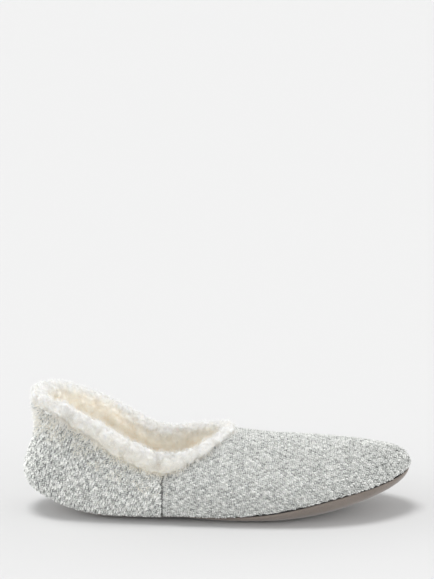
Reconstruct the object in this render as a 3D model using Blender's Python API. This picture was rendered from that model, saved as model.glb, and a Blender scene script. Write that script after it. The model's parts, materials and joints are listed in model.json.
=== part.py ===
# Knitted house slipper for the right foot, toe towards +X, big toe side towards +Y.
# Metres, +Z up, floor at z = 0. The outer side of the foot is at -Y.
import math
import random

import bmesh
import bpy
from mathutils import Vector

# Driving sizes of the last and of the sole
LENGTH = 0.250
BALL_WIDTH = 0.088
HEEL_HEIGHT = 0.070
THROAT_HEIGHT = 0.0515
OPENING_LENGTH = 0.127
OPENING_WIDTH = 0.062
OPENING_SETBACK = 0.0072
SOLE_THICKNESS = 0.0025
SOLE_RIM = 0.0016
SOLE_EDGE_RISE = 0.0125
HEEL_BEVEL_RADIUS = 0.068
HEEL_FLAT_START = 0.056
HEEL_FLAT_LENGTH = 0.028
FOREFOOT_FLAT_START = 0.121
FOREFOOT_FLAT_LENGTH = 0.030
TOE_SPRING_RADIUS = 0.250
ARCH_RISE = 0.0010

# Driving sizes of the soft pieces
KNIT_WALL = 0.0025
MARGIN = 0.004
HEEL_DENT = 0.0054
INNER_RAISE = 0.004
UNDER_SAG = 0.0034
SEAM_STEP = 0.0008
SEAM_PINCH = 0.0006
SEAM_REACH = 0.012
INSOLE_EDGE = 0.0025
INSOLE_DISH = 0.0009
INSOLE_BEVEL = 0.7
INSOLE_STEP_IN = 0.05
FLEECE_ROLL = 0.0135
FLEECE_WIDTH = 0.0105
FLEECE_SKIRT = 0.016
FLEECE_LINING = 0.0050
FLEECE_LUMP = 0.0010
LOCK_HEIGHT = 0.0020
GAP = 0.0003

# Ribs run up the upper, from the sole's edge to the collar or to the ridge of the vamp.
# Rows are counted from the middle of the heel, row 0, to the tip of the toe.
THROAT_ROW = 7
TOE_ROW = 13
SEAM_ROW = 5.15
HANG_ROW = 5
SEAM_GAP = 0.05

# Widest line of the upper. along: share of LENGTH; outer and inner: shares of BALL_WIDTH
# from the centre line; height: share of HEEL_HEIGHT above the sole's underside.
EDGE_COLUMNS = ("along", "outer", "inner", "height")
EDGE_ROWS = (
    (0.000, 0.000, 0.000, -0.030),
    (0.022, 0.190, 0.190, 0.055),
    (0.080, 0.308, 0.303, 0.172),
    (0.168, 0.366, 0.350, 0.220),
    (0.264, 0.402, 0.368, 0.205),
    (0.360, 0.434, 0.388, 0.203),
    (0.456, 0.467, 0.424, 0.210),
    (0.552, 0.492, 0.472, 0.220),
    (0.648, 0.502, 0.500, 0.230),
    (0.744, 0.488, 0.506, 0.240),
    (0.832, 0.428, 0.458, 0.225),
    (0.912, 0.308, 0.348, 0.178),
    (0.972, 0.148, 0.200, 0.146),
    (1.000, -0.036, 0.036, 0.128),
)

# Edge of the sole. along: share of LENGTH; outer and inner: shares of BALL_WIDTH;
# rise: share of SOLE_EDGE_RISE above the thickness; roll: share of BALL_WIDTH that curves up.
SOLE_COLUMNS = ("along", "outer", "inner", "rise", "roll", "spine")
SOLE_ROWS = (
    (0.068, 0.000, 0.000, 0.02, 0.070, 0.165),
    (0.082, 0.120, 0.120, 0.02, 0.070, 0.170),
    (0.118, 0.212, 0.206, 0.02, 0.075, 0.180),
    (0.186, 0.264, 0.250, 0.02, 0.080, 0.204),
    (0.272, 0.292, 0.262, 0.02, 0.090, 0.272),
    (0.364, 0.324, 0.278, 0.03, 0.100, 0.364),
    (0.456, 0.374, 0.336, 0.08, 0.125, 0.456),
    (0.552, 0.438, 0.416, 0.20, 0.160, 0.552),
    (0.648, 0.477, 0.477, 0.46, 0.195, 0.648),
    (0.744, 0.470, 0.488, 0.72, 0.215, 0.740),
    (0.828, 0.414, 0.443, 0.78, 0.215, 0.815),
    (0.906, 0.300, 0.340, 0.60, 0.195, 0.862),
    (0.969, 0.150, 0.202, 0.44, 0.145, 0.880),
    (0.997, -0.036, 0.036, 0.36, 0.115, 0.884),
)

# Collar line. along: share of OPENING_LENGTH; aside: share of OPENING_WIDTH;
# height: share of HEEL_HEIGHT; raise: share of INNER_RAISE on the inner side;
# lean: end angle of the rib's arc, share of a right angle; dent: share of HEEL_DENT;
# roll and skirt: shares of the fleece sizes; spill: share of FLEECE_WIDTH outwards.
COLLAR_COLUMNS = ("along", "aside", "height", "raise", "lean", "dent", "roll", "skirt", "spill")
COLLAR_ROWS = (
    (0.000, 0.000, 1.000, 0.0, 0.38, 1.00, 0.58, 1.00, -0.24),
    (0.024, 0.200, 1.000, 0.0, 0.38, 0.85, 0.58, 1.00, -0.22),
    (0.108, 0.350, 0.970, 0.1, 0.38, 0.45, 0.62, 1.00, -0.06),
    (0.271, 0.455, 0.800, 0.7, 0.40, 0.12, 0.84, 1.00, 0.04),
    (0.461, 0.500, 0.570, 1.0, 0.44, 0.00, 1.00, 0.80, 0.08),
    (0.651, 0.505, 0.446, 0.6, 0.52, 0.00, 0.92, 0.62, 0.10),
    (0.835, 0.455, 0.590, 0.1, 0.74, 0.00, 0.40, 0.60, 0.08),
    (1.000, 0.000, 0.736, 0.0, 1.00, 0.00, 0.20, 0.45, 0.05),
)

# Ridge of the vamp, from the throat to the toe. along: share of LENGTH; aside: share of
# BALL_WIDTH towards the big toe; height: share of THROAT_HEIGHT.
RIDGE_COLUMNS = ("along", "aside", "height")
RIDGE_ROWS = (
    (0.536, 0.000, 1.000),
    (0.606, 0.004, 0.940),
    (0.678, 0.008, 0.905),
    (0.750, 0.014, 0.880),
    (0.820, 0.022, 0.855),
    (0.880, 0.029, 0.832),
    (0.932, 0.034, 0.806),
)

# Round of the fleece roll, from its inner face over the top to its outer face. spill: share
# of the spill outwards; outward and upward: shares of the roll's width and height.
ROLL_COLUMNS = ("spill", "outward", "upward")
ROLL_ROWS = (
    (0.0, -0.90, 0.52),
    (0.0, -0.72, 0.84),
    (0.0, -0.38, 1.00),
    (0.0, -0.05, 0.90),
    (0.6, 0.05, 0.66),
    (1.0, 0.03, 0.34),
)
# The roll's width where it is flattest, and the lining's thickness at the throat, as shares.
ROLL_FLATTEST = 0.35
THROAT_LINING = 0.6

# Height of the locks on each strip of the fleece's section, as a share of LOCK_HEIGHT.
LOCK_SHARES = {6: 0.4, 7: 0.6, 8: 0.8, 9: 1.0, 10: 1.0, 11: 1.0, 12: 0.7, 13: 0.5}

# The sole's middle line is straight at the heel. It bends with the outline over this stretch,
# in shares of LENGTH.
BEND_START = 0.2
BEND_REACH = 0.6


def smooth(values, place, closed):
    """Value between table rows, on a curve that passes through each row."""
    row = math.floor(place)
    if closed:
        near = [values[(row + step) % len(values)] for step in (-1, 0, 1, 2)]
    else:
        last = len(values) - 1
        row = min(row, last - 1)
        near = [values[min(max(row + step, 0), last)] for step in (-1, 0, 1, 2)]
    before, start, end, after = near
    t = place - row
    bend = 2 * before - 5 * start + 4 * end - after
    twist = 3 * start - before - 3 * end + after
    return start + 0.5 * t * ((end - before) + t * (bend + t * twist))


def ring_values(columns, rows, outer, inner, name):
    """One column, taken up the outer side and back down the inner side."""
    if name == "aside":
        out_side = [-row[columns.index(outer)] for row in rows]
        in_side = [row[columns.index(inner)] for row in rows]
    else:
        out_side = [row[columns.index(name)] for row in rows]
        in_side = out_side
    return out_side + in_side[-2:0:-1]


def make_ring(columns, rows, outer, inner):
    names = [name for name in columns if name not in (outer, inner)]
    ring = {name: ring_values(columns, rows, outer, inner, name) for name in names}
    ring["aside"] = ring_values(columns, rows, outer, inner, "aside")
    return ring


EDGE_RING = make_ring(EDGE_COLUMNS, EDGE_ROWS, "outer", "inner")
SOLE_RING = make_ring(SOLE_COLUMNS, SOLE_ROWS, "outer", "inner")
COLLAR_RING = make_ring(COLLAR_COLUMNS, COLLAR_ROWS, "aside", "aside")
RIDGE_LINE = {name: [row[k] for row in RIDGE_ROWS] for k, name in enumerate(RIDGE_COLUMNS)}


def floor_at(x):
    """Height of the sole's underside: heel bevel, two flat spots, arch and toe spring."""
    heel_end = HEEL_FLAT_START + HEEL_FLAT_LENGTH
    toe_start = FOREFOOT_FLAT_START + FOREFOOT_FLAT_LENGTH
    if x < HEEL_FLAT_START:
        reach = min(HEEL_FLAT_START - x, HEEL_BEVEL_RADIUS)
        return HEEL_BEVEL_RADIUS - math.sqrt(HEEL_BEVEL_RADIUS ** 2 - reach ** 2)
    if heel_end < x < FOREFOOT_FLAT_START:
        share = (x - heel_end) / (FOREFOOT_FLAT_START - heel_end)
        return ARCH_RISE * math.sin(math.pi * share) ** 2
    if x > toe_start:
        reach = min(x - toe_start, TOE_SPRING_RADIUS)
        return TOE_SPRING_RADIUS - math.sqrt(TOE_SPRING_RADIUS ** 2 - reach ** 2)
    return 0.0


class Rib:
    """One rib of the slipper, at a row on the outer side (-1) or the inner side (+1)."""

    STEP = 0.02

    def __init__(self, row, side):
        self.row = row
        self.side = side
        self.at_end = row in (0, TOE_ROW)
        self.edge = self.edge_point(self.place(TOE_ROW))
        self.edge_out = self.outward(self.edge_point, self.place(TOE_ROW))
        self.sole = self.sole_point(self.place(TOE_ROW))
        self.sole_out = self.outward(self.sole_point, self.place(TOE_ROW))
        self.rise = SOLE_EDGE_RISE * smooth(SOLE_RING["rise"], self.place(TOE_ROW), True)
        self.roll = BALL_WIDTH * smooth(SOLE_RING["roll"], self.place(TOE_ROW), True)
        self.edge.z = (floor_at(self.edge.x)
                       + HEEL_HEIGHT * smooth(EDGE_RING["height"], self.place(TOE_ROW), True))
        self.read_top()

    def place(self, last):
        """Place on a ring of rows that goes up the outer side and down the inner side."""
        if self.side < 0:
            return self.row
        return 2 * last - self.row

    @staticmethod
    def edge_point(place):
        return Vector((LENGTH * smooth(EDGE_RING["along"], place, True),
                       BALL_WIDTH * smooth(EDGE_RING["aside"], place, True), 0.0))

    @staticmethod
    def sole_point(place):
        return Vector((LENGTH * smooth(SOLE_RING["along"], place, True),
                       BALL_WIDTH * smooth(SOLE_RING["aside"], place, True), 0.0))

    @staticmethod
    def collar_point(place):
        along = smooth(COLLAR_RING["along"], place, True)
        return Vector((OPENING_SETBACK + OPENING_LENGTH * along,
                       OPENING_WIDTH * smooth(COLLAR_RING["aside"], place, True),
                       HEEL_HEIGHT * smooth(COLLAR_RING["height"], place, True)))

    def outward(self, curve, place):
        ahead = curve(place + self.STEP) - curve(place - self.STEP)
        return Vector((ahead.y, -ahead.x, 0.0)).normalized()

    def read_top(self):
        """Top of the rib, on the collar or on the ridge."""
        self.dent = 0.0
        self.lean = 0.5 * math.pi
        self.on_collar = self.row <= THROAT_ROW
        if self.on_collar:
            place = self.place(THROAT_ROW)
            self.top = self.collar_point(place)
            self.lean *= smooth(COLLAR_RING["lean"], place, True)
            self.dent = HEEL_DENT * smooth(COLLAR_RING["dent"], place, True)
            if self.side > 0:
                self.top.z += INNER_RAISE * smooth(COLLAR_RING["raise"], place, True)
            return
        place = self.row - THROAT_ROW
        self.top = Vector((LENGTH * smooth(RIDGE_LINE["along"], place, False),
                           BALL_WIDTH * smooth(RIDGE_LINE["aside"], place, False),
                           THROAT_HEIGHT * smooth(RIDGE_LINE["height"], place, False)))

    def inset(self, depth, height):
        """Point that lies depth inside the sole's edge, height above its underside."""
        point = self.sole - self.sole_out * depth
        point.z = floor_at(point.x) + height
        return point

    def spine(self, share, height):
        """Point on the way from the margin's end, share 0, to the sole's middle, share 1."""
        start = self.sole - self.sole_out * (self.roll + MARGIN)
        place = self.place(TOE_ROW)
        middle_x = LENGTH * smooth(SOLE_RING["spine"], place, True)
        far = Rib.sole_point(2 * TOE_ROW - place)
        weight = min(max((middle_x / LENGTH - BEND_START) / BEND_REACH, 0.0), 1.0)
        middle = Vector((middle_x, weight * 0.5 * (self.sole.y + far.y), 0.0))
        point = start.lerp(middle, share)
        point.z = floor_at(point.x) + height
        return point

    def sole_under(self, angle):
        """Underside of the sole, from flat (0) to the rim (a right angle)."""
        return self.inset(self.roll * (1 - math.sin(angle)),
                          (SOLE_THICKNESS + self.rise) * (1 - math.cos(angle)))

    def sole_over(self, angle, clear=0.0):
        """Top of the sole, or what lies on it when clear is set."""
        width = self.roll - SOLE_RIM
        depth = SOLE_RIM + width * (1 - math.sin(angle)) + clear * math.sin(angle)
        return self.inset(depth, SOLE_THICKNESS + clear + self.rise * (1 - math.cos(angle)))

    def seam_offset(self):
        """The vamp stands a step proud at the side seam, and the quarter is pinched in."""
        past = self.row - SEAM_ROW
        reach = SEAM_REACH / LENGTH * TOE_ROW
        if past >= SEAM_GAP:
            return SEAM_STEP * math.exp(-((past - SEAM_GAP) / reach) ** 2)
        return -SEAM_PINCH * math.exp(-(2 * past / reach) ** 2)

    def on_sole(self, angle, clear):
        """Layer of the margin on the sole. It is lifted over a rim that slopes up outwards."""
        point = self.sole_over(angle, clear)
        low = self.sole - self.sole_out * (SOLE_RIM + GAP)
        lift = max(floor_at(self.sole.x) - floor_at(low.x), 0.0)
        point.z += lift * math.sin(angle) ** 6
        return point

    def bulge(self, angle, foot, edge):
        """Quarter turn from the sole's rim (0) out to the widest line (a right angle)."""
        point = foot.lerp(edge, math.sin(angle))
        point.z = edge.z - (edge.z - foot.z) * math.cos(angle)
        overhang = (edge - foot).to_2d().length
        share = min(max(overhang / (3 * KNIT_WALL) - 0.5, 0.0), 1.0)
        point.z -= UNDER_SAG * share * math.sin(2 * angle) ** 2 * math.sin(angle)
        return point

    def outer_bulge(self, angle):
        foot = self.on_sole(0.5 * math.pi, GAP)
        offset = self.edge_out * self.seam_offset() * math.sin(angle)
        return self.bulge(angle, foot, self.edge) + offset

    def inner_bulge(self, angle):
        foot = self.on_sole(0.5 * math.pi, GAP + KNIT_WALL)
        return self.bulge(angle, foot, self.inner_edge())

    def arc(self, low, top, share):
        """Point on the rib's upper arc, share 0 at the widest line and 1 at the top."""
        angle = share * self.lean
        across = (1 - math.cos(angle)) / (1 - math.cos(self.lean))
        up = math.sin(angle) / math.sin(self.lean)
        point = low.lerp(top, across)
        point.z = low.z + (top.z - low.z) * up
        dent = self.dent * math.sin(math.pi * min(up, 1.0) ** 1.3)
        return point - self.edge_out * dent

    def skin(self, share):
        point = self.arc(self.edge, self.top, share)
        return point + self.edge_out * self.seam_offset() * math.cos(share * self.lean)

    def inner_edge(self):
        return self.edge - self.edge_out * KNIT_WALL

    def inner_top(self):
        normal = self.edge_out * math.cos(self.lean) + Vector((0, 0, math.sin(self.lean)))
        return self.top - normal * KNIT_WALL

    def lining(self, share):
        """Inner face of the knit wall above the widest line."""
        return self.arc(self.inner_edge(), self.inner_top(), share)


def steps(start, end, count):
    return [start + (end - start) * k / count for k in range(count)]


def rib_rows():
    """Rows of the ribs on one side, with a close pair at the side seam."""
    rows = steps(0.0, SEAM_ROW, 16)
    rows += steps(SEAM_ROW, SEAM_ROW + SEAM_GAP, 1)
    rows += steps(SEAM_ROW + SEAM_GAP, THROAT_ROW, 10)
    rows += steps(THROAT_ROW, TOE_ROW, 16)
    return rows + [TOE_ROW]


def make_ribs():
    rows = rib_rows()
    outer = [Rib(row, -1) for row in rows]
    inner = [Rib(row, 1) for row in rows[-2:0:-1]]
    return outer + inner


def fold_quad(form, corners, at_end):
    """Two triangles that fold as the layers above and below do.

    The fold takes the higher diagonal. Beside the heel's or the toe's middle rib it takes the
    diagonal that reaches further across, so that both sides don't share one triangle.
    """
    a, b, c, d = corners
    first = a.co.z + c.co.z > b.co.z + d.co.z
    if at_end:
        first = abs(a.co.y - c.co.y) > abs(b.co.y - d.co.y)
    if first:
        return [form.faces.new((a, b, c)), form.faces.new((a, c, d))]
    return [form.faces.new((a, b, d)), form.faces.new((b, c, d))]


def loft(name, ribs, sections, joined, material, folded=True):
    """Closed skin over sections that follow each other round the slipper."""
    mesh = bpy.data.meshes.new(name)
    form = bmesh.new()
    strip = form.faces.layers.int.new("strip")
    grid = [[form.verts.new(point) for point in section] for section in sections]
    count = len(sections)
    width = len(sections[0])
    for k in range(count):
        here = grid[k]
        there = grid[(k + 1) % count]
        for row in range(width):
            if joined(k, row):
                after = (row + 1) % width
                corners = (here[row], here[after], there[after], there[row])
                at_end = ribs[k].at_end or ribs[(k + 1) % count].at_end
                faces = fold_quad(form, corners, at_end) if folded else [form.faces.new(corners)]
                for face in faces:
                    face[strip] = row
    bmesh.ops.remove_doubles(form, verts=form.verts[:], dist=0.000002)
    bmesh.ops.dissolve_degenerate(form, edges=form.edges[:], dist=0.000002)
    bmesh.ops.recalc_face_normals(form, faces=form.faces[:])
    form.to_mesh(mesh)
    form.free()
    mesh.materials.append(material)
    mesh.shade_smooth()
    body = bpy.data.objects.new(name, mesh)
    bpy.context.collection.objects.link(body)
    return body


def angles(*degrees):
    return [math.radians(value) for value in degrees]


def make_outsole(ribs, material):
    sections = []
    for rib in ribs:
        section = [rib.spine(share, 0.0) for share in (1.0, 0.5, 0.0)]
        section += [rib.sole_under(angle) for angle in angles(0, 22, 44, 66, 90)]
        section += [rib.sole_over(angle) for angle in angles(90, 62, 35, 0)]
        section += [rib.spine(share, SOLE_THICKNESS) for share in (0.0, 0.5, 1.0)]
        sections.append(section)
    last = len(sections[0]) - 1
    return loft("outsole", ribs, sections, lambda k, row: row < last, material)


def dished(rib, share, height, depth):
    """Point of a footbed face that is hollowed towards the sole's middle line."""
    return rib.spine(share, height) - Vector((0, 0, depth * share * (2 - share)))


def make_insole(ribs, material):
    """Footbed: it fills the margin's inside, and its top is hollowed for the foot."""
    low = SOLE_THICKNESS + 2 * GAP
    clear = KNIT_WALL + 2 * GAP
    margin = SOLE_THICKNESS + clear
    top = margin + INSOLE_EDGE
    step_in = INSOLE_STEP_IN
    sections = []
    for rib in ribs:
        curve = [rib.on_sole(angle, clear) for angle in angles(0, 35, 62)]
        section = [dished(rib, share, low, 0.5 * GAP) for share in (1.0, 0.5, step_in)]
        section.append(rib.spine(step_in, margin))
        section += curve
        section.append(curve[-1] + Vector((0, 0, INSOLE_BEVEL * INSOLE_EDGE)))
        section.append(rib.inset(rib.roll, top))
        section += [dished(rib, share, top, INSOLE_DISH) for share in (0.5, 1.0)]
        sections.append(section)
    last = len(sections[0]) - 1
    return loft("insole", ribs, sections, lambda k, row: row < last, material)


def make_upper(ribs, material):
    """One hollow shell: turned-in margin, outer skin, collar edge and inner face."""
    floor = SOLE_THICKNESS + GAP
    up = 7
    down = 6
    sections = []
    for rib in ribs:
        section = [rib.spine(0.0, floor)]
        section += [rib.on_sole(angle, GAP) for angle in angles(0, 35, 62, 90)]
        section += [rib.outer_bulge(angle) for angle in angles(22, 46, 68, 90)]
        section += [rib.skin(k / up) for k in range(1, up + 1)]
        top = len(section) - 1
        section += [rib.lining(1 - k / down) for k in range(down)]
        section += [rib.inner_bulge(angle) for angle in angles(90, 60, 30)]
        section += [rib.on_sole(angle, GAP + KNIT_WALL) for angle in angles(90, 62, 35, 0)]
        section.append(rib.spine(0.0, floor + KNIT_WALL))
        sections.append(section)

    def joined(k, row):
        both_on_collar = ribs[k].on_collar and ribs[(k + 1) % len(ribs)].on_collar
        return row != top or both_on_collar

    return loft("upper", ribs, sections, joined, material)


def wall_at(rib, depth):
    """Inner face of the wall at a depth under the collar's inner edge."""
    top = rib.inner_top()
    low = rib.inner_edge()
    share = max((top.z - depth - low.z) / (top.z - low.z), 0.0)
    angle = math.asin(min(share * math.sin(rib.lean), 1.0))
    return rib.lining(angle / rib.lean)


def fleece_section(rib, lump):
    """Section of the fleece: roll on the collar's edge and lining skirt inside it."""
    place = rib.place(THROAT_ROW)
    out = rib.outward(Rib.collar_point, place)
    up = Vector((0, 0, 1))
    share = smooth(COLLAR_RING["roll"], place, True)
    height = FLEECE_ROLL * share + lump
    width = FLEECE_WIDTH * (ROLL_FLATTEST + (1 - ROLL_FLATTEST) * share) + lump
    skirt = FLEECE_SKIRT * smooth(COLLAR_RING["skirt"], place, True)
    spill = FLEECE_WIDTH * smooth(COLLAR_RING["spill"], place, True) + 0.5 * lump
    clear = 1.3 * GAP
    tilt = clear * (up * math.cos(rib.lean) - out * math.sin(rib.lean))
    top = rib.top
    inner = rib.inner_top() + tilt
    hang = max(rib.row - HANG_ROW, 0.0) / (THROAT_ROW - HANG_ROW)

    def against(depth):
        on_wall = wall_at(rib, depth) - rib.edge_out * clear
        straight = rib.inner_top() - out * clear - up * depth
        return on_wall.lerp(straight, min(2 * hang, 1.0))

    def roll(outward, upward):
        return top + out * outward + up * upward

    lining = FLEECE_LINING * (1 - (1 - THROAT_LINING) * hang)
    half = against(0.5 * skirt)
    end = against(skirt)
    section = [
        roll(spill, 2 * GAP + 0.08 * height),
        top + tilt + up * GAP,
        inner,
        half,
        end,
        end - out * 0.6 * lining - up * 0.1 * lining,
        end - out * lining + up * 0.25 * skirt,
        half - out * lining,
        inner - out * (width - KNIT_WALL - 2 * GAP) + up * 0.15 * height,
    ]
    for row in ROLL_ROWS:
        spilled, outward, upward = row
        section.append(roll(spilled * spill + outward * width, upward * height))
    return section


def add_locks(body):
    """Short locks of pile that stand out of the roll and of its inner face."""
    form = bmesh.new()
    form.from_mesh(body.data)
    strip = form.faces.layers.int["strip"]
    chance = random.Random(7)
    for face in form.faces[:]:
        share = LOCK_SHARES.get(face[strip], 0.0)
        height = LOCK_HEIGHT * share * (0.3 + 0.9 * chance.random())
        if share > 0.0:
            bmesh.ops.poke(form, faces=[face], offset=height)
    form.to_mesh(body.data)
    form.free()


def make_collar_fleece(ribs, material):
    chance = random.Random(3)
    sections = []
    ribs = [rib for rib in ribs if rib.on_collar]
    for rib in ribs:
        lump = FLEECE_LUMP * (chance.random() - 0.5)
        sections.append(fleece_section(rib, lump))
    body = loft("collar_fleece", ribs, sections, lambda k, row: True, material, False)
    add_locks(body)
    return body


def make_material(name, colour, roughness):
    material = bpy.data.materials.new(name)
    material.use_nodes = True
    shader = material.node_tree.nodes["Principled BSDF"]
    shader.inputs["Base Color"].default_value = (*colour, 1.0)
    shader.inputs["Roughness"].default_value = roughness
    shader.inputs["Metallic"].default_value = 0.0
    return material


def stand_on_origin(bodies):
    """Move the pieces together so that the origin is under the middle of the slipper."""
    corners = [vertex.co for body in bodies for vertex in body.data.vertices]
    low = Vector([min(corner[axis] for corner in corners) for axis in range(3)])
    high = Vector([max(corner[axis] for corner in corners) for axis in range(3)])
    middle = 0.5 * (low + high)
    for body in bodies:
        body.location = Vector((-middle.x, -middle.y, -low.z))


def main():
    for item in list(bpy.data.objects):
        bpy.data.objects.remove(item, do_unlink=True)
    suede = make_material("suede", (0.27, 0.22, 0.19), 0.95)
    footbed = make_material("footbed", (0.72, 0.66, 0.55), 1.0)
    knit = make_material("knit", (0.53, 0.54, 0.52), 1.0)
    fleece = make_material("fleece", (0.75, 0.72, 0.64), 1.0)
    ribs = make_ribs()
    bodies = [
        make_outsole(ribs, suede),
        make_insole(ribs, footbed),
        make_upper(ribs, knit),
        make_collar_fleece(ribs, fleece),
    ]
    stand_on_origin(bodies)


main()
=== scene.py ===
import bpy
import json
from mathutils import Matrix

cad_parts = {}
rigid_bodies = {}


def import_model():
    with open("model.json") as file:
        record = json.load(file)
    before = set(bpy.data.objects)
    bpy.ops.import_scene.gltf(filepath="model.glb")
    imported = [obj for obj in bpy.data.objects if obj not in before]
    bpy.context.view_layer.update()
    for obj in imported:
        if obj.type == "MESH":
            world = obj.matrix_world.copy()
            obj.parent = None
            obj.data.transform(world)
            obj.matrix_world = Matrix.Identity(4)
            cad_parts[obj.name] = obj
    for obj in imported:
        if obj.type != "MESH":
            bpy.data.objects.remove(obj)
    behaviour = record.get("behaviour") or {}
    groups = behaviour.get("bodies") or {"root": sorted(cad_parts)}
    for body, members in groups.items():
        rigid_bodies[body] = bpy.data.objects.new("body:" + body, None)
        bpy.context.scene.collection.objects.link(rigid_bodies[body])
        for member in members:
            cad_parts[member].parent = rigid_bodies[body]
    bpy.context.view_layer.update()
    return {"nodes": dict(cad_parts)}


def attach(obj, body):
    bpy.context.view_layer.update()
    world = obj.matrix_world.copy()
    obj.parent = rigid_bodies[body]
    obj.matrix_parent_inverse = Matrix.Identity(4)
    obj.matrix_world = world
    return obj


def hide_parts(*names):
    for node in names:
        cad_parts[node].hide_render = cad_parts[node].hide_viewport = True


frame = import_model()

import json
import math

import bpy
import numpy as np
from mathutils import Vector, noise
from mathutils.bvhtree import BVHTree

# In the dictionaries all lengths are in metres and all angles in degrees.
print("stage: frame loaded")


# A wire wraps an output socket, so that shader maths is written as sums and products.
class Wire:
    def __init__(self, paint, socket):
        self.paint = paint
        self.socket = socket

    def join(self, operation, first, second):
        return self.paint.add("ShaderNodeMath", {"operation": operation}, {0: first, 1: second})

    def __add__(self, other):
        return self.join("ADD", self, other)

    __radd__ = __add__

    def __sub__(self, other):
        return self.join("SUBTRACT", self, other)

    def __rsub__(self, other):
        return self.join("SUBTRACT", other, self)

    def __mul__(self, other):
        return self.join("MULTIPLY", self, other)

    __rmul__ = __mul__

    def isBelow(self, other):
        return self.join("LESS_THAN", self, other)

    def atLeast(self, other):
        return self.join("MAXIMUM", self, other)


# The nodes of one material, or of the world, round its shader
class Paint:
    def __init__(self, owner, shaderName, constants):
        owner.use_nodes = True
        self.owner = owner
        self.tree = owner.node_tree
        self.shader = self.tree.nodes[shaderName]
        for socketName, value in constants.items():
            self.shader.inputs[socketName].default_value = value

    def add(self, kind, settings=None, sockets=None, output=0):
        node = self.tree.nodes.new(kind)
        for name, value in (settings or {}).items():
            if name == "stops":
                self.fillRamp(node.color_ramp, value)
            else:
                setattr(node, name, value)
        for key, value in (sockets or {}).items():
            self.plug(value, node.inputs[key])
        return Wire(self, node.outputs[output])

    def fillRamp(self, ramp, stops):
        while len(ramp.elements) < len(stops):
            ramp.elements.new(0.5)
        for element, (place, shade) in zip(ramp.elements, stops):
            element.position = place
            element.color = (*shade, 1.0)

    def plug(self, value, socket):
        if isinstance(value, Wire):
            self.tree.links.new(value.socket, socket)
        else:
            socket.default_value = value

    def feed(self, socketName, wire):
        self.plug(wire, self.shader.inputs[socketName])

    def place(self, output="Object"):
        return self.add("ShaderNodeTexCoord", output=output)

    def attribute(self, name):
        return self.add("ShaderNodeAttribute", {"attribute_name": name}, output="Fac")

    def noise(self, where, scale, detail=2.0):
        return self.add("ShaderNodeTexNoise", {}, {"Vector": where, "Scale": scale, "Detail": detail})

    def ramp(self, value, stops, shades):
        return self.add("ShaderNodeValToRGB", {"stops": list(zip(stops, shades))}, {"Fac": value})

    def mix(self, share, first, second):
        return self.add("ShaderNodeMix", {"data_type": "RGBA"}, {0: share, 6: first, 7: second}, output=2)

    def part(self, vector, axis):
        return self.add("ShaderNodeSeparateXYZ", {}, {"Vector": vector}, axis)

    def remap(self, value, fromLow, fromHigh, toLow, toHigh):
        sockets = {"Value": value, "From Min": fromLow, "From Max": fromHigh,
                   "To Min": toLow, "To Max": toHigh}
        return self.add("ShaderNodeMapRange", {"clamp": True}, sockets)

    # The finest relief, with its strength and its height
    def bump(self, height, strength, distance):
        sockets = {"Height": height, "Strength": strength, "Distance": distance}
        self.feed("Normal", self.add("ShaderNodeBump", {}, sockets))


def newPaint(name, constants):
    return Paint(bpy.data.materials.new(name), "Principled BSDF", constants)


def pick(piece):
    bpy.ops.object.select_all(action="DESELECT")
    piece.select_set(True)
    bpy.context.view_layer.objects.active = piece


merging = {"near": 0.00002, "faceAngle": 30, "shapeAngle": 60}


# A copy of a CAD node's mesh with its loose triangles joined
def mergedCopy(node, name):
    piece = bpy.data.objects.new(name, frame["nodes"][node].data.copy())
    bpy.context.scene.collection.objects.link(piece)
    piece.data.materials.clear()
    pick(piece)
    bpy.ops.object.mode_set(mode="EDIT")
    bpy.ops.mesh.select_all(action="SELECT")
    bpy.ops.mesh.remove_doubles(threshold=merging["near"])
    bpy.ops.mesh.customdata_custom_splitnormals_clear()
    bpy.ops.mesh.tris_convert_to_quads(face_threshold=math.radians(merging["faceAngle"]),
                                       shape_threshold=math.radians(merging["shapeAngle"]))
    bpy.ops.object.mode_set(mode="OBJECT")
    bpy.ops.object.shade_smooth()
    return piece


def applyModifier(piece, kind, settings):
    pick(piece)
    modifier = piece.modifiers.new("shape", kind)
    for name, value in settings.items():
        setattr(modifier, name, value)
    bpy.ops.object.modifier_apply(modifier=modifier.name)


def smoothed(piece, levels):
    applyModifier(piece, "SUBSURF", {"levels": levels, "render_levels": levels})


# Deletes each face that isn't wanted
def keepFaces(piece, wanted):
    pick(piece)
    bpy.context.tool_settings.mesh_select_mode = (False, False, True)
    mesh = piece.data
    mesh.vertices.foreach_set("select", [False] * len(mesh.vertices))
    mesh.edges.foreach_set("select", [False] * len(mesh.edges))
    mesh.polygons.foreach_set("select", [not wanted(face) for face in mesh.polygons])
    bpy.ops.object.mode_set(mode="EDIT")
    bpy.ops.mesh.delete(type="FACE")
    bpy.ops.object.mode_set(mode="OBJECT")


# Keeps the part of a piece that is joined to the face farthest along one axis
def keepLinked(piece, axis, sign):
    pick(piece)
    faces = piece.data.polygons
    farthest = max(range(len(faces)), key=lambda number: sign * faces[number].center[axis])
    faces.foreach_set("select", [number == farthest for number in range(len(faces))])
    bpy.ops.object.mode_set(mode="EDIT")
    bpy.ops.mesh.select_linked()
    bpy.ops.mesh.select_all(action="INVERT")
    bpy.ops.mesh.delete(type="FACE")
    bpy.ops.object.mode_set(mode="OBJECT")


def treeOf(mesh):
    places = [vertex.co for vertex in mesh.vertices]
    return BVHTree.FromPolygons(places, [face.vertices for face in mesh.polygons])


def readArray(items, name, kind, width):
    values = np.empty(len(items) * width, kind)
    items.foreach_get(name, values)
    return values.reshape(-1, width) if width > 1 else values


# A co or normal of each vertex, as an array with three columns
def readPoints(mesh, name):
    return readArray(mesh.vertices, name, np.float32, 3).astype(float)


def movePoints(piece, places):
    piece.data.vertices.foreach_set("co", places.astype(np.float32).ravel())
    piece.data.update()


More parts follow.
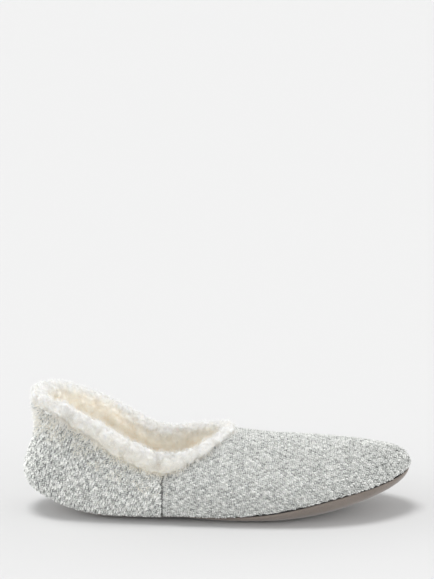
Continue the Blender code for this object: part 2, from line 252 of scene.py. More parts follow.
def makeMesh(name, places, faces, material):
    mesh = bpy.data.meshes.new(name)
    mesh.from_pydata(places, [], faces)
    mesh.shade_smooth()
    mesh.materials.append(material)
    piece = bpy.data.objects.new(name, mesh)
    bpy.context.scene.collection.objects.link(piece)
    return piece


def paintPoints(piece, name, values):
    attribute = piece.data.attributes.new(name, "FLOAT", "POINT")
    attribute.data.foreach_set("value", np.asarray(values, np.float32))


def finishPiece(piece, replaced=()):
    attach(piece, "root")
    if replaced:
        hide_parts(*replaced)


# Frame and camera of the photograph. The slipper's origin is seen at the pixel originColumn, originRow.
photo = {"wide": 434, "high": 579, "originColumn": 217.5, "originRow": 506.5,
         "metresPerPixel": 0.000646, "distance": 1.5, "elevation": 18.0}


def makeCamera():
    elevation = math.radians(photo["elevation"])
    below = (photo["originRow"] - photo["high"] / 2) * photo["metresPerPixel"]
    aside = (photo["originColumn"] - photo["wide"] / 2) * photo["metresPerPixel"]
    offAxis = math.asin(below / photo["distance"])
    focalPixels = photo["distance"] / photo["metresPerPixel"] * math.cos(offAxis)
    data = bpy.data.cameras.new("camera")
    data.lens = focalPixels / photo["high"] * data.sensor_width
    camera = bpy.data.objects.new("camera", data)
    bpy.context.scene.collection.objects.link(camera)
    camera.location = (-aside, -photo["distance"] * math.cos(elevation),
                       photo["distance"] * math.sin(elevation))
    camera.rotation_euler = (math.pi / 2 - elevation + offAxis, 0.0, 0.0)
    bpy.context.scene.camera = camera


# Pale floor, pale room and one soft lamp above. The room's light goes by height, from 0 at the horizon to 1
# above: the walls fade into the darker ceiling from wallTop to ceilingFoot. They are dim below skirtTop,
# but not behind the heel and the toe, where sideShare adds light.
studio = {"floorSize": 40.0, "floorTone": 0.618, "grainScale": 3.0, "grainContrast": 1.004,
          "wallLight": 2.7, "wallTop": 0.35, "ceilingLight": 0.34, "ceilingFoot": 0.65, "sideShare": 0.4,
          "skirtTop": 0.35, "skirtLight": 0.15,
          "lampLight": 1.7, "lampSoftness": 24.0, "lampTilt": -3.0, "lampLean": -10.0}


def makeFloor():
    bpy.ops.mesh.primitive_plane_add(size=studio["floorSize"], location=(0, 0, 0))
    floor = bpy.context.object
    floor.name = "floor"
    paint = newPaint("floorPaper", {"Roughness": 1.0, "Specular IOR Level": 0.0})
    grain = paint.noise(paint.place(), studio["grainScale"])
    low, high = studio["floorTone"], studio["floorTone"] * studio["grainContrast"]
    paint.feed("Base Color", paint.ramp(grain, (0.0, 1.0), ((low, low, low), (high, high, high))))
    floor.data.materials.append(paint.owner)


def makeRoom():
    room = Paint(bpy.data.worlds.new("room"), "Background", {"Color": (1.0, 1.0, 1.0, 1.0)})
    bpy.context.scene.world = room.owner
    ahead = room.place("Generated")
    alongX, alongY, height = [room.part(ahead, axis) for axis in "XYZ"]
    wall = room.remap(height, studio["wallTop"], studio["ceilingFoot"],
                      studio["wallLight"], studio["ceilingLight"])
    sides = (alongX * alongX - alongY * alongY) * studio["sideShare"]
    skirt = room.remap(height, 0.0, studio["skirtTop"], studio["skirtLight"], 1.0)
    room.feed("Strength", wall * (1.0 + sides) * (skirt + (1.0 - skirt) * alongX * alongX))


def makeLamp():
    data = bpy.data.lights.new("softLamp", "SUN")
    data.energy = studio["lampLight"]
    data.angle = math.radians(studio["lampSoftness"])
    lamp = bpy.data.objects.new("softLamp", data)
    lamp.rotation_euler = (math.radians(studio["lampTilt"]), math.radians(studio["lampLean"]), 0.0)
    bpy.context.scene.collection.objects.link(lamp)


makeCamera()
makeFloor()
makeRoom()
makeLamp()
bpy.context.scene.view_settings.view_transform = "Standard"
print("stage: camera and studio")


# Outer skin of the upper. Its core is a line inside the foot's room, from coreBack to coreFront. A face
# within the reaches of sole, insole or fleece is covered by them, but for fleece only if its normal rises
# more than facesUp. The side seam is at x = seam, and seamGap is half its width.
upperForm = {"coreBack": -0.085, "coreFront": 0.095, "coreHigh": 0.028, "soleReach": 0.0022,
             "insoleReach": 0.03, "fleeceReach": 0.0025, "facesUp": 0.8, "seam": -0.0350, "seamGap": 0.0009}
soleTree, fleeceTree, insoleTree, wallTree = [treeOf(frame["nodes"][node].data)
                                              for node in ("outsole", "collar_fleece", "insole", "upper")]


# True on the faces of the upper that point away from its core
def outwards(face):
    centre = face.center
    coreX = min(max(centre.x, upperForm["coreBack"]), upperForm["coreFront"])
    return face.normal.dot(centre - Vector((coreX, 0.0, upperForm["coreHigh"]))) > 0


def isCovered(face, tree, reach):
    return tree.ray_cast(face.center, face.normal, reach)[0] is not None


# True on the faces that the knit covers
def isSkin(face):
    if not outwards(face) or isCovered(face, soleTree, upperForm["soleReach"]):
        return False
    if isCovered(face, insoleTree, upperForm["insoleReach"]):
        return False
    if face.normal.z < upperForm["facesUp"]:
        return True
    return not isCovered(face, fleeceTree, upperForm["fleeceReach"])


# The skin in front of the side seams or behind them, with a flat map of itself
def makePanel(name, front):
    panel = mergedCopy("upper", name)
    keepFaces(panel, isSkin)
    pick(panel)
    side = 1 if front else -1
    bpy.ops.object.mode_set(mode="EDIT")
    bpy.ops.mesh.select_all(action="SELECT")
    bpy.ops.mesh.bisect(plane_co=(upperForm["seam"] + side * upperForm["seamGap"], 0, 0),
                        plane_no=(1, 0, 0), clear_inner=front, clear_outer=not front)
    bpy.ops.object.mode_set(mode="OBJECT")
    keepLinked(panel, 0, side)
    smoothed(panel, 1)
    pick(panel)
    bpy.ops.object.mode_set(mode="EDIT")
    bpy.ops.mesh.select_all(action="SELECT")
    bpy.ops.uv.unwrap(method="ANGLE_BASED", margin=0.0)
    bpy.ops.object.mode_set(mode="OBJECT")
    return panel


tiny = {"area": 1e-14, "length": 1e-12}  # keeps a division from running into zero


# A panel laid flat at its real size, turned so that the axis points along the angle turnTo.
# It lifts places on the flat cloth back onto the panel.
class FlatCloth:
    def __init__(self, panel, axis, turnTo):
        mesh = panel.data
        mesh.calc_loop_triangles()
        loops = readArray(mesh.loop_triangles, "loops", np.int32, 3)
        corners = readArray(mesh.loop_triangles, "vertices", np.int32, 3)
        flat = readArray(mesh.uv_layers.active.data, "uv", np.float32, 2).astype(float)[loops]
        self.places = readPoints(mesh, "co")[corners]
        self.normals = readPoints(mesh, "normal")[corners]
        sides = self.places[:, 1:] - self.places[:, :1]
        area = np.linalg.norm(np.cross(sides[:, 0], sides[:, 1]), axis=1)
        flatSides = flat[:, 1:] - flat[:, :1]
        spread = flatSides[:, 0, 0] * flatSides[:, 1, 1] - flatSides[:, 0, 1] * flatSides[:, 1, 0]
        if spread.sum() < 0:
            flat[:, :, 0] *= -1
            flatSides[:, :, 0] *= -1
        scale = math.sqrt(area.sum() / abs(spread).sum())
        rises = sides[:, :, axis]
        gradient = np.stack([(rises[:, 0] * flatSides[:, 1, 1] - rises[:, 1] * flatSides[:, 0, 1]),
                             (rises[:, 1] * flatSides[:, 0, 0] - rises[:, 0] * flatSides[:, 1, 0])], 1)
        gradient = gradient.sum(0)
        turn = turnTo - math.atan2(gradient[1], gradient[0])
        spin = np.array([[math.cos(turn), math.sin(turn)], [-math.sin(turn), math.cos(turn)]])
        self.flat = flat * scale @ spin
        self.low = self.flat.reshape(-1, 2).min(0)
        self.high = self.flat.reshape(-1, 2).max(0)
        points = [(u, v, 0.0) for u, v in self.flat.reshape(-1, 2)]
        self.tree = BVHTree.FromPolygons(points, [(k, k + 1, k + 2) for k in range(0, len(points), 3)])

    def nearest(self, flat):
        found = [self.tree.find_nearest((u, v, 0.0)) for u, v in flat]
        return (np.array([hit[0][:2] for hit in found]), np.array([hit[2] for hit in found]),
                np.array([hit[3] for hit in found]))

    def lift(self, flat):
        where, index, away = self.nearest(flat)
        first, second, third = (self.flat[index, k] for k in range(3))
        a, b, c = second - first, third - first, where - first
        whole = a[:, 0] * b[:, 1] - a[:, 1] * b[:, 0]
        whole[abs(whole) < tiny["area"]] = tiny["area"]
        shareB = (c[:, 0] * b[:, 1] - c[:, 1] * b[:, 0]) / whole
        shareC = (a[:, 0] * c[:, 1] - a[:, 1] * c[:, 0]) / whole
        shares = np.clip(np.stack([1 - shareB - shareC, shareB, shareC], 1), 0, 1)
        shares /= shares.sum(1, keepdims=True)
        places = (self.places[index] * shares[:, :, None]).sum(1)
        normals = (self.normals[index] * shares[:, :, None]).sum(1)
        return places, normals / np.linalg.norm(normals, axis=1, keepdims=True)


# Each course of the knit is one strand of yarn that runs in loops, and blocks of stitches stand in front
# and behind by turns. This gives the flat place, the height and the radius along one stitch.
def loopShape(knit, column, row, share, chance):
    block = knit["block"]
    front = 1 if (column // block + row // block) % 2 == 0 else -1
    slack = np.sin(np.pi * share)
    shift = chance.normal(0, knit["unevenness"], 2)
    inBlock = np.sin(np.pi * (column % block + share) / block)
    u = column + share + shift[0] * slack
    v = row + 0.5 - knit["arch"] * np.cos(2 * np.pi * share) + shift[1] * slack
    height = front * knit["relief"] * np.minimum(knit["blockRise"] * inBlock, 1) + knit["ripple"] * slack
    swelling = knit["thinShare"] + knit["swell"] * slack
    radius = knit["yarn"] * swelling * (1 + chance.normal(0, knit["yarnUnevenness"]) * slack)
    return u * knit["stitch"], v * knit["course"], height, radius


# Turns upright strands, and lays rows parallel to a spine that dips to both sides of the middle
def bendRows(cloth, knit, flat):
    if knit["upright"]:
        flat = flat[:, ::-1]
    if not knit["dip"]:
        return flat
    middle = (cloth.low + cloth.high) / 2
    reach = np.linspace(-1, 1, 2 * knit["spinePoints"] + 1) * (cloth.high[0] - cloth.low[0])
    turn = -math.radians(knit["dip"]) * np.tanh(reach / knit["dipReach"])
    step = reach[1] - reach[0]
    spineU = np.cumsum(np.cos(turn)) * step
    spineV = np.cumsum(np.sin(turn)) * step
    along, aside = flat[:, 0] - middle[0], flat[:, 1] - middle[1]
    angle = np.interp(along, reach, turn)
    centre = knit["spinePoints"]
    u = np.interp(along, reach, spineU - spineU[centre]) - np.sin(angle) * aside
    v = np.interp(along, reach, spineV - spineV[centre]) + np.cos(angle) * aside
    return np.stack([u + middle[0], v + middle[1] + knit["dipLift"]], 1)


# Strands that cover the cloth. Each row is flat u and v, height, radius and the stitch's tone.
def knitStrands(cloth, knit, chance):
    stitch, course = knit["stitch"], knit["course"]
    low, high = cloth.low - knit["dipSpare"], cloth.high + knit["dipSpare"]
    if knit["upright"]:
        low, high = low[::-1], high[::-1]
    columns = np.arange(math.floor(low[0] / stitch), math.ceil(high[0] / stitch))
    rows = np.arange(math.floor(low[1] / course), math.ceil(high[1] / course))
    shares = np.arange(knit["points"]) / knit["points"]
    strands = []
    for row in rows:
        centres = np.stack([(columns + 0.5) * stitch, np.full(len(columns), (row + 0.5) * course)], 1)
        inside = cloth.nearest(bendRows(cloth, knit, centres))[2] < knit["overhang"]
        run = []
        for column, kept in zip(columns.tolist() + [None], inside.tolist() + [False]):
            if kept:
                tone = np.full(len(shares), chance.random())
                run.append(np.stack([*loopShape(knit, column, row, shares, chance), tone], 1))
            elif run:
                strands.append(np.concatenate(run))
                run = []
    return strands


# Closed tubes round strands of centres. starts holds the first row of each strand.
def tubeMesh(name, centres, normals, radii, starts, knit, material):
    sides = knit["sides"]
    around = np.arange(sides) * 2 * math.pi / sides
    places, faces, plies = [], [], []
    base = 0
    for first, last in zip(starts[:-1], starts[1:]):
        centre = centres[first:last]
        ahead = np.gradient(centre, axis=0)
        ahead /= np.linalg.norm(ahead, axis=1, keepdims=True) + tiny["length"]
        side = np.cross(ahead, normals[first:last])
        side /= np.linalg.norm(side, axis=1, keepdims=True) + tiny["length"]
        up = np.cross(side, ahead)
        ring = (np.cos(around)[None, :, None] * up[:, None] + np.sin(around)[None, :, None] * side[:, None])
        places.append((centre[:, None] + ring * radii[first:last, None, None]).reshape(-1, 3))
        run = np.concatenate([[0], np.linalg.norm(np.diff(centre, axis=0), axis=1).cumsum()])
        plies.append(np.cos(around[None, :] - run[:, None] * 2 * math.pi / knit["twist"]).reshape(-1))
        count = last - first
        for k in range(count - 1):
            low = base + k * sides
            for j in range(sides):
                after = (j + 1) % sides
                faces.append((low + j, low + after, low + sides + after, low + sides + j))
        faces.append(tuple(range(base + sides - 1, base - 1, -1)))
        faces.append(tuple(range(base + (count - 1) * sides, base + count * sides)))
        base += count * sides
    piece = makeMesh(name, np.concatenate(places), faces, material)
    paintPoints(piece, "ply", np.concatenate(plies) * 0.5 + 0.5)
    return piece


wallProbe = {"start": 0.0003, "reach": 0.004}


# Thickness of the wall behind each place, up to the probe's reach
def wallDepths(places, normals):
    depths = []
    for place, normal in zip(places, normals):
        inward = Vector(-normal)
        found = wallTree.ray_cast(Vector(place) + inward * wallProbe["start"], inward, wallProbe["reach"])[3]
        depths.append(found or wallProbe["reach"])
    return np.array(depths)


# Lays the knit on a panel as two pieces, cut between two courses
def makeKnit(name, panel, knit):
    material = yarnMaterial(name + "Yarn", knit["strength"], knit["contrast"])
    chance = np.random.default_rng(knit["seed"])
    cloth = FlatCloth(panel, knit["axis"], math.radians(knit["turnTo"]))
    strands = knitStrands(cloth, knit, chance)
    half = sum(len(strand) for strand in strands) / 2
    placed = np.cumsum([len(strand) for strand in strands])
    for number, side in ((1, placed <= half), (2, placed > half)):
        chosen = [strand for strand, wanted in zip(strands, side) if wanted]
        rows = np.concatenate(chosen)
        starts = np.concatenate([[0], np.cumsum([len(strand) for strand in chosen])])
        places, normals = cloth.lift(bendRows(cloth, knit, rows[:, :2]))
        lacking = np.maximum(knit["yarn"] + knit["sink"] + knit["relief"] - wallDepths(places, normals), 0)
        centres = places + normals * (rows[:, 2] - knit["sink"] + lacking)[:, None]
        piece = tubeMesh(name + str(number), centres, normals, rows[:, 3], starts, knit, material)
        paintPoints(piece, "tone", np.repeat(rows[:, 4], knit["sides"]))
        # height runs from the knit's lowest point to its highest, and places the yarn's painted pit shade
        height = (rows[:, 2] + knit["relief"]) / (2 * knit["relief"] + knit["ripple"])
        paintPoints(piece, "height", np.repeat(height, knit["sides"]))
        finishPiece(piece)
        print("  ", piece.name, "faces", len(piece.data.polygons))


# Grey marl yarn. loop, ply, fibre and cloud are their shares in the tone. pitShade is painted shade deep in
# the knit, where it has pitShadeShare, and it ends at the height pitShadeTop.
yarnLook = {"dark": (0.24, 0.25, 0.24), "middle": (0.60, 0.61, 0.59), "light": (0.86, 0.865, 0.84),
            "stops": (0.18, 0.45, 0.78), "loop": 0.3, "ply": 0.4, "fibre": 0.4, "cloud": 0.3, "shift": 0.2,
            "fibreScale": 1500.0, "cloudScale": 300.0, "bump": (0.5, 0.0004),
            "pitShade": (0.42, 0.43, 0.42), "pitShadeShare": 0.45, "pitShadeTop": 0.7}


def yarnMaterial(name, strength, contrast):
    paint = newPaint(name, {"Roughness": 0.95, "Specular IOR Level": 0.15, "Sheen Weight": 0.15,
                            "Sheen Roughness": 0.6})
    where = paint.place()
    fibres = paint.noise(where, yarnLook["fibreScale"], 3.0)
    clouds = paint.noise(where, yarnLook["cloudScale"])
    tone = (paint.attribute("tone") * yarnLook["loop"] + paint.attribute("ply") * yarnLook["ply"]
            + fibres * yarnLook["fibre"] + clouds * yarnLook["cloud"] - yarnLook["shift"])
    middle = yarnLook["stops"][1]
    tone = (tone - middle) * contrast + middle
    shades = [tuple(part * strength for part in yarnLook[shade]) for shade in ("dark", "middle", "light")]
    marl = paint.ramp(tone, yarnLook["stops"], shades)
    # Painted shade: the yarn's colour darkens towards the low points of the knit
    paintedPitShade = paint.remap(paint.attribute("height"), 0.0, yarnLook["pitShadeTop"], yarnLook["pitShadeShare"], 0.0)
    paint.feed("Base Color", paint.mix(paintedPitShade, marl, (*yarnLook["pitShade"], 1.0)))
    paint.bump(fibres, *yarnLook["bump"])
    return paint.owner


# stitch and course are the width and height of a stitch, and yarn is its radius. relief is how far the
# blocks stand in front and behind, ripple the rise within a stitch, arch the height of a loop in courses,
# and twist the length of one turn of the plies. A stitch has points rings with sides corners. The knit runs
# past its panel by overhang, and the yarn's middle lies sink deep in the wall. The heel's rows slope by dip
# away from its middle.
knitCommon = {"block": 2, "blockRise": 1.5, "ripple": 0.0003, "thinShare": 0.94, "swell": 0.12,
              "yarnUnevenness": 0.06, "twist": 0.0021, "points": 6, "sides": 4, "overhang": 0.0006,
              "sink": 0.0007}
vampKnit = {**knitCommon, "seed": 11, "axis": 0, "turnTo": 0, "upright": False, "stitch": 0.00217,
            "course": 0.0015, "yarn": 0.00065, "relief": 0.00028, "arch": 0.36, "unevenness": 0.11,
            "strength": 0.97, "contrast": 1.05, "dip": 0, "dipSpare": 0.0}
quarterKnit = {**knitCommon, "seed": 12, "axis": 2, "turnTo": 90, "upright": True, "stitch": 0.0019,
               "course": 0.0017, "yarn": 0.00066, "relief": 0.00034, "arch": 0.3, "unevenness": 0.12,
               "strength": 1.09, "contrast": 1.35, "dip": 34, "dipReach": 0.045, "dipLift": 0.02,
               "dipSpare": 0.03, "spinePoints": 200}

vampPanel = makePanel("vampPanel", True)
quarterPanel = makePanel("quarterPanel", False)
makeKnit("vampKnit", vampPanel, vampKnit)
makeKnit("quarterKnit", quarterPanel, quarterKnit)
for panel in (vampPanel, quarterPanel):
    bpy.data.objects.remove(panel)
print("stage: knitted panels")


# Backing under the knit, on the wall's outer face. It lies depth below the wall's own face, but no deeper
# than depthShare of the wall. Its grey, darker than the yarn, is painted shade in the gaps between the
# stitches.
# It is darker still beside the side seams, as far as seamHalf, and next to the sole: painted shade in these
# gaps.
backing = {"depth": 0.0013, "depthShare": 0.4, "grainScale": 900.0, "low": (0.22, 0.225, 0.22),
           "high": (0.40, 0.405, 0.395), "stops": (0.3, 0.7), "bump": (0.6, 0.0005),
           "seamShade": (0.16, 0.16, 0.157), "seamHalf": 0.0016, "soleReach": 0.0035, "soleStart": 1.6}


def backingMaterial():
    paint = newPaint("greyBacking", {"Roughness": 1.0, "Specular IOR Level": 0.1})
    where = paint.place()
    grain = paint.noise(where, backing["grainScale"], 3.0)
    aside = paint.part(where, "X") - upperForm["seam"]
    # Painted shade: dark in the side seam's gap and along the knit's edge by the sole
    dark = (aside * aside).isBelow(backing["seamHalf"] ** 2).atLeast(paint.attribute("soleEdge"))
    wool = paint.ramp(grain, backing["stops"], (backing["low"], backing["high"]))
    paint.feed("Base Color", paint.mix(dark, wool, (*backing["seamShade"], 1.0)))
    paint.bump(grain, *backing["bump"])
    return paint.owner


# Short cream pile of the lining and the footbed
pile = {"shade": (0.72, 0.61, 0.46), "light": (0.90, 0.86, 0.76), "curlScale": 420.0, "clumpScale": 120.0,
        "curlShare": 0.6, "stops": (0.3, 0.62), "bump": (0.8, 0.0015)}


def pileMaterial(name):
    paint = newPaint(name, {"Roughness": 1.0, "Specular IOR Level": 0.1, "Sheen Weight": 0.3,
                            "Sheen Roughness": 0.5})
    where = paint.place()
    curls = paint.noise(where, pile["curlScale"], 4.0)
    clumps = paint.noise(where, pile["clumpScale"])
    level = curls * pile["curlShare"] + clumps * (1 - pile["curlShare"])
    paint.feed("Base Color", paint.ramp(level, pile["stops"], (pile["shade"], pile["light"])))
    paint.bump(curls + clumps, *pile["bump"])
    return paint.owner


# The whole wall: backing outside, lining inside
def makeBacking():
    wall = mergedCopy("upper", "knitBacking")
    outer = [outwards(face) for face in wall.data.polygons]
    corners = sorted({corner for face, isOuter in zip(wall.data.polygons, outer) if isOuter
                      for corner in face.vertices})
    places, normals = readPoints(wall.data, "co"), readPoints(wall.data, "normal")[corners]
    depths = wallDepths(places[corners], normals) * backing["depthShare"]
    places[corners] -= normals * np.minimum(backing["depth"], depths)[:, None]
    movePoints(wall, places)
    wall.data.materials.append(backingMaterial())
    wall.data.materials.append(pileMaterial("liningPile"))
    wall.data.polygons.foreach_set("material_index", [0 if isOuter else 1 for isOuter in outer])
    smoothed(wall, 1)
    # soleEdge is painted shade that fades out away from the sole
    nearSole = np.array([soleTree.find_nearest(vertex.co)[3] for vertex in wall.data.vertices])
    paintPoints(wall, "soleEdge", np.clip(backing["soleStart"] - nearSole / backing["soleReach"], 0, 1))
    finishPiece(wall, ["upper"])


makeBacking()
print("stage: backing")


# Taupe suede with a fine nap and larger rubbed places
suede = {"low": (0.180, 0.152, 0.132), "high": (0.245, 0.212, 0.188), "napScale": 1400.0, "rubbedScale": 60.0,
         "napShare": 0.45, "stops": (0.3, 0.7), "bump": (0.35, 0.0003)}


def suedeMaterial():
    paint = newPaint("taupeSuede", {"Roughness": 0.95, "Specular IOR Level": 0.2, "Sheen Weight": 0.35,
                                    "Sheen Roughness": 0.4})
    where = paint.place()
    nap = paint.noise(where, suede["napScale"], 3.0)
    rubbed = paint.noise(where, suede["rubbedScale"], 3.0)
    level = nap * suede["napShare"] + rubbed * (1 - suede["napShare"])
    paint.feed("Base Color", paint.ramp(level, suede["stops"], (suede["low"], suede["high"])))
    paint.bump(nap, *suede["bump"])
    return paint.owner


sole = mergedCopy("outsole", "suedeSole")
smoothed(sole, 1)
sole.data.materials.append(suedeMaterial())
finishPiece(sole, ["outsole"])

footbed = mergedCopy("insole", "pileFootbed")
smoothed(footbed, 1)
footbed.data.materials.append(pileMaterial("footbedPile"))
finishPiece(footbed, ["insole"])
print("stage: sole and footbed")


# Roll: a core of soft puffs. puff and curl are the heights of large and small puffs, and drift bends their
# creases. sink lowers the core to make room for them. Colours turn warm on the side that faces the foot, a
# painted warm shade, and cream below the rim, whose own colours are greyer and darker: painted shade against
# the strong light on the roll's top. The rim is measured in rimSteps directions round centre, with x shrunk
# by stretch.
fleece = {"voxel": 0.0008, "smoothing": 0.5, "smoothTimes": 8, "seed": 5, "puff": 0.0019, "puffSize": 0.0072,
          "curl": 0.0010, "curlSize": 0.0030, "drift": 0.0016, "driftSize": 0.009, "sink": 0.0013,
          "centre": (-0.052, 0.0), "stretch": 0.55, "rimSteps": 60, "rimDepth": 0.002, "warmSlope": 1.8,
          "warmShare": 0.3, "warmDepth": 0.009, "creamDepth": 0.014}


# Heights of the large and the small puffs at a place, 0 in the creases and 1 on top
def puffHeight(place):
    drift = noise.noise_vector(place / fleece["driftSize"]) * fleece["drift"]
    big = noise.voronoi((place + drift) / fleece["puffSize"])[0][0]
    small = noise.voronoi((place + drift) / fleece["curlSize"])[0][0]
    return max(0.0, 1 - big * big), max(0.0, 1 - small * small)


# Direction from the middle of the collar, in plan
def outwardOf(places):
    out = (places[:, :2] - fleece["centre"]) * (fleece["stretch"], 1.0)
    return out / np.linalg.norm(out, axis=1, keepdims=True)


# Height of the rim in each direction
def rimOf(places):
    out = outwardOf(places)
    count = fleece["rimSteps"]
    steps = np.floor((np.arctan2(out[:, 1], out[:, 0]) / math.pi + 1) * count / 2).astype(int) % count
    angles = ((np.arange(count) + 0.5) * 2 / count - 1) * math.pi
    return angles, np.array([places[steps == step, 2].max() for step in range(count)])


# How far each place lies below the rim
def depthBelowRim(places):
    out = outwardOf(places)
    return np.interp(np.arctan2(out[:, 1], out[:, 0]), *rim, period=2 * math.pi) - places[:, 2]


# 1 on the side of the roll that faces the foot, 0 on its outer side and on the rim: where the warm painted
# shade and the core's glow go
def inwardness(places, normals):
    facing = -fleece["warmSlope"] * (normals[:, :2] * outwardOf(places)).sum(1) - fleece["warmShare"]
    below = (depthBelowRim(places) - fleece["rimDepth"]) / fleece["warmDepth"]
    return np.clip(facing, 0, 1) * np.clip(below, 0, 1)


def paintFleece(piece, places, normals, repeats):
    cream = np.clip(depthBelowRim(places) / fleece["creamDepth"], 0, 1)
    paintPoints(piece, "warm", np.repeat(inwardness(places, normals), repeats))
    paintPoints(piece, "cream", np.repeat(cream, repeats))


# The crease colours, darker and warmer than the top colours, are painted shade between the puffs and at the
# fibres' roots; the top colours lie on the puffs and the tips. puffs are the shares of large and small puffs
# in the height, and height and curls make the colour's level. The glows are painted light, from 0 to 1:
# emission that stands for light passing through the wool; on the core it lights only the inside of the
# collar.
fleeceLook = {"rimCrease": (0.64, 0.628, 0.59), "rimTop": (0.695, 0.693, 0.68),
              "outerCrease": (0.70, 0.64, 0.52), "outerTop": (0.77, 0.75, 0.68),
              "innerCrease": (0.76, 0.645, 0.49), "innerTop": (0.80, 0.77, 0.69),
              "stops": (0.1, 0.65), "height": 0.8, "curls": 0.5, "shift": 0.15, "curlScale": 700.0,
              "bump": (0.5, 0.0006), "puffs": (0.65, 0.35), "softness": 0.5, "softDepth": 0.004,
              "glowStrength": 0.2, "coreGlow": 0.0, "fibreGlow": 0.9}


def fleeceMaterial(name, height, glow):
    paint = newPaint(name, {"Roughness": 1.0, "Specular IOR Level": 0.1, "Sheen Weight": 0.3,
                            "Sheen Roughness": 0.5, "Subsurface Weight": fleeceLook["softness"],
                            "Subsurface Radius": (1.0, 0.85, 0.65),
                            "Subsurface Scale": fleeceLook["softDepth"],
                            "Emission Strength": fleeceLook["glowStrength"]})
    curls = paint.noise(paint.place(), fleeceLook["curlScale"], 3.0)
    level = paint.attribute(height) * fleeceLook["height"] + curls * fleeceLook["curls"] - fleeceLook["shift"]
    rimColour, outer, inner = [
        paint.ramp(level, fleeceLook["stops"], (fleeceLook[side + "Crease"], fleeceLook[side + "Top"]))
        for side in ("rim", "outer", "inner")]
    # warm brings in the inner colours, painted warm shade, and cream leaves the rim's greyer painted shade
    warm = paint.attribute("warm")
    colour = paint.mix(warm, paint.mix(paint.attribute("cream"), rimColour, outer), inner)
    paint.feed("Base Color", colour)
    # Painted light: the fibres and the inside of the roll glow in their own colour
    paint.feed("Emission Color", paint.mix(warm * (1.0 - glow) + glow, (0.0, 0.0, 0.0, 1.0), colour))
    if height == "puff":
        paint.bump(curls, *fleeceLook["bump"])
    return paint.owner


noise.seed_set(fleece["seed"])  # without a seed, noise_vector differs from run to run
core = mergedCopy("collar_fleece", "fleeceRoll")
applyModifier(core, "REMESH", {"mode": "VOXEL", "voxel_size": fleece["voxel"]})
applyModifier(core, "SMOOTH", {"factor": fleece["smoothing"], "iterations": fleece["smoothTimes"]})
coreNormals, corePlaces = readPoints(core.data, "normal"), readPoints(core.data, "co")
heights = np.array([puffHeight(Vector(place)) for place in corePlaces])
rim = rimOf(corePlaces)
corePlaces += coreNormals * (heights @ (fleece["puff"], fleece["curl"]) - fleece["sink"])[:, None]
movePoints(core, corePlaces)
# puff is low in the creases, which take the painted crease shade
paintPoints(core, "puff", heights @ fleeceLook["puffs"])
paintFleece(core, corePlaces, coreNormals, 1)
core.data.shade_smooth()
core.data.materials.clear()
core.data.materials.append(fleeceMaterial("fleeceCore", "puff", fleeceLook["coreGlow"]))
finishPiece(core, ["collar_fleece"])
print("   fleece core faces", len(core.data.polygons))


# Curly fibres on the core. stray and scatter turn them from its normals, by place and by chance, and
# strayScale is how fast stray changes. Lengths run from shortest to shortest + spread times length. bend is
# the radius of a curl, curlTurn its turn in radians, sag the slowing towards the tip, and tip the last
# ring's thickness.
fibre = {"count": 9000, "rootSeed": 21, "seed": 30, "length": 0.0028, "shortest": 0.6, "spread": 0.7,
         "thickness": 0.00011, "tip": 0.55, "bend": 0.0008, "curlTurn": 4.2, "sag": 0.25, "stray": 0.9,
         "strayScale": 0.25, "scatter": 0.25, "rings": 4, "sides": 3}

# Locks that spill from the roll over the knit's edge. They start within near of the wall, where the roll is
# less warm than warmest and its normal rises less than highest. outward is the normal's share in their
# direction, and droop turns them down.
spill = {**fibre, "seed": 40, "length": 0.0055, "bend": 0.0014, "thickness": 0.00024, "tries": 24000,
         "most": 4000, "near": 0.0026, "warmest": 0.05, "highest": 0.3, "outward": 1.1, "droop": 0.7}


# Places and normals spread evenly by chance over a piece
def scatter(piece, count, chance):
    mesh = piece.data
    mesh.calc_loop_triangles()
    corners = readArray(mesh.loop_triangles, "vertices", np.int32, 3)
    places, normals = readPoints(mesh, "co")[corners], readPoints(mesh, "normal")[corners]
    area = np.linalg.norm(np.cross(places[:, 1] - places[:, 0], places[:, 2] - places[:, 0]), axis=1)
    index = chance.choice(len(area), count, p=area / area.sum())
    shares = chance.dirichlet((1, 1, 1), count)
    return (places[index] * shares[:, :, None]).sum(1), (normals[index] * shares[:, :, None]).sum(1)


# Faces of one fibre: its foot, its rings and its pointed tip
def fibreFaces(rings, sides):
    faces = [tuple(range(sides - 1, -1, -1))]
    for low in range(0, (rings - 2) * sides, sides):
        for j in range(sides):
            after = (j + 1) % sides
            faces.append((low + j, low + after, low + sides + after, low + sides + j))
    low = (rings - 2) * sides
    return faces + [(low + j, low + (j + 1) % sides, low + sides) for j in range(sides)]


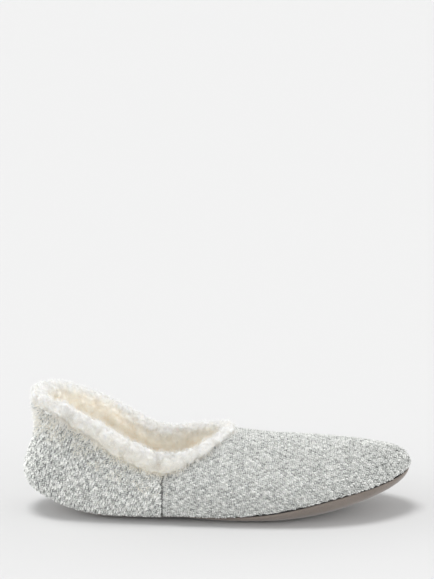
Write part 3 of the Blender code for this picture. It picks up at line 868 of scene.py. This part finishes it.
def makeFibres(name, roots, normals, form, seed, material):
    chance = np.random.default_rng(seed)
    count, rings, sides = len(roots), form["rings"], form["sides"]
    drift = np.array([noise.noise_vector(Vector(root) / form["bend"] * form["strayScale"]) for root in roots])
    lean = normals + form["stray"] * drift + chance.normal(0, form["scatter"], (count, 3))
    lean /= np.linalg.norm(lean, axis=1, keepdims=True)
    across = np.cross(lean, chance.normal(0, 1, (count, 3)))
    across /= np.linalg.norm(across, axis=1, keepdims=True)
    other = np.cross(lean, across)
    length = form["length"] * (form["shortest"] + form["spread"] * chance.random((count, 1)))
    phase = chance.random((count, 1)) * 2 * math.pi
    rows = []
    for step in range(rings):
        share = step / (rings - 1)
        turn = phase + form["curlTurn"] * share
        curl = form["bend"] * share * (np.cos(turn) * across + np.sin(turn) * other)
        rows.append(roots + lean * length * (share - form["sag"] * share ** 2) + curl)
    path = np.stack(rows, 1)
    around = np.arange(sides) * 2 * math.pi / sides
    ring = np.cos(around)[None, :, None] * across[:, None] + np.sin(around)[None, :, None] * other[:, None]
    thick = form["thickness"] * np.linspace(1.0, form["tip"], rings)
    body = path[:, :-1, None] + ring[:, None] * thick[None, :-1, None, None]
    places = np.concatenate([body.reshape(count, -1, 3), path[:, -1:]], 1)
    block = places.shape[1]
    pattern = fibreFaces(rings, sides)
    faces = [tuple(k * block + corner for corner in face) for k in range(count) for face in pattern]
    piece = makeMesh(name, places.reshape(-1, 3), faces, material)
    # tip runs from 0 at the root, painted with the crease shade, to 1 at the tip
    tips = np.concatenate([np.repeat(np.arange(rings - 1) / (rings - 1), sides), [1.0]])
    paintPoints(piece, "tip", np.tile(tips, count))
    paintFleece(piece, roots, normals, block)
    finishPiece(piece)
    print("  ", name, "tris", sum(len(face) - 2 for face in pattern) * count)


def makeSpill(chance, material):
    roots, normals = scatter(core, spill["tries"], chance)
    near = np.array([wallTree.find_nearest(Vector(root), spill["near"])[3] is not None for root in roots])
    chosen = near & (inwardness(roots, normals) < spill["warmest"]) & (normals[:, 2] < spill["highest"])
    roots, normals = roots[chosen][:spill["most"]], normals[chosen][:spill["most"]] * spill["outward"]
    normals[:, 2] -= spill["droop"]
    makeFibres("fleeceSpill", roots, normals, spill, spill["seed"], material)
    print("   spill", len(roots))


fibreMaterial = fleeceMaterial("fleeceFibres", "tip", fleeceLook["fibreGlow"])
chance = np.random.default_rng(fibre["rootSeed"])
for number in (1, 2):
    roots, normals = scatter(core, fibre["count"], chance)
    makeFibres("fleecePile" + str(number), roots, normals, fibre, fibre["seed"] + number, fibreMaterial)
makeSpill(chance, fibreMaterial)
print("stage: fleece")
